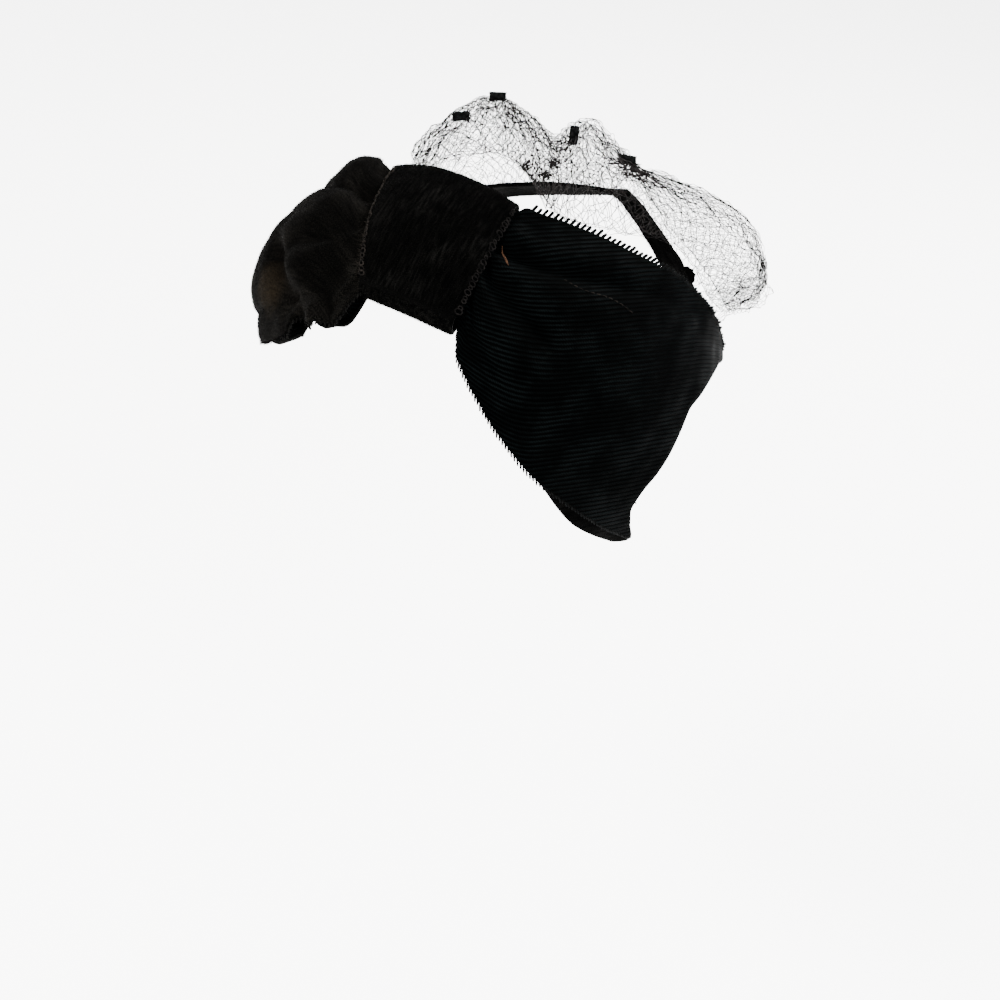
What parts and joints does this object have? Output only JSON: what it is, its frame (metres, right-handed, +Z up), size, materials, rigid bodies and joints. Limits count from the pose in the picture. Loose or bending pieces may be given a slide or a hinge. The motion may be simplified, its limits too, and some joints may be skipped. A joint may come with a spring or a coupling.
{
  "type": "cocktail hat",
  "caption": "Open-crown cocktail hat: a wide flat velvet bow with a knot over the front of the head, a narrow band behind and a coarse net veil standing in poufs at the back.",
  "frame": {"origin": "the place where the top of the wearer's head sits, in the middle of the open crown", "axes": "+Z up, -Y the wearer's front where the knot lies, +X the wearer's left"},
  "size_m": [0.1812, 0.1563, 0.1215],
  "materials": {
    "velvet": "black rayon velvet with a short upright pile",
    "ribbed_back": "black ribbed back of the velvet, cut on the slant",
    "net": "fine black diamond veiling",
    "chenille": "dense black chenille"
  },
  "bodies": {
    "root": {"left_bow_loop": "ribbed_back", "right_bow_loop": "velvet", "knot": "velvet", "back_band": "velvet", "veil": "net", "chenille_bar_1": "chenille", "chenille_bar_2": "chenille", "chenille_bar_3": "chenille", "chenille_bar_4": "chenille"}
  },
  "joints": []
}
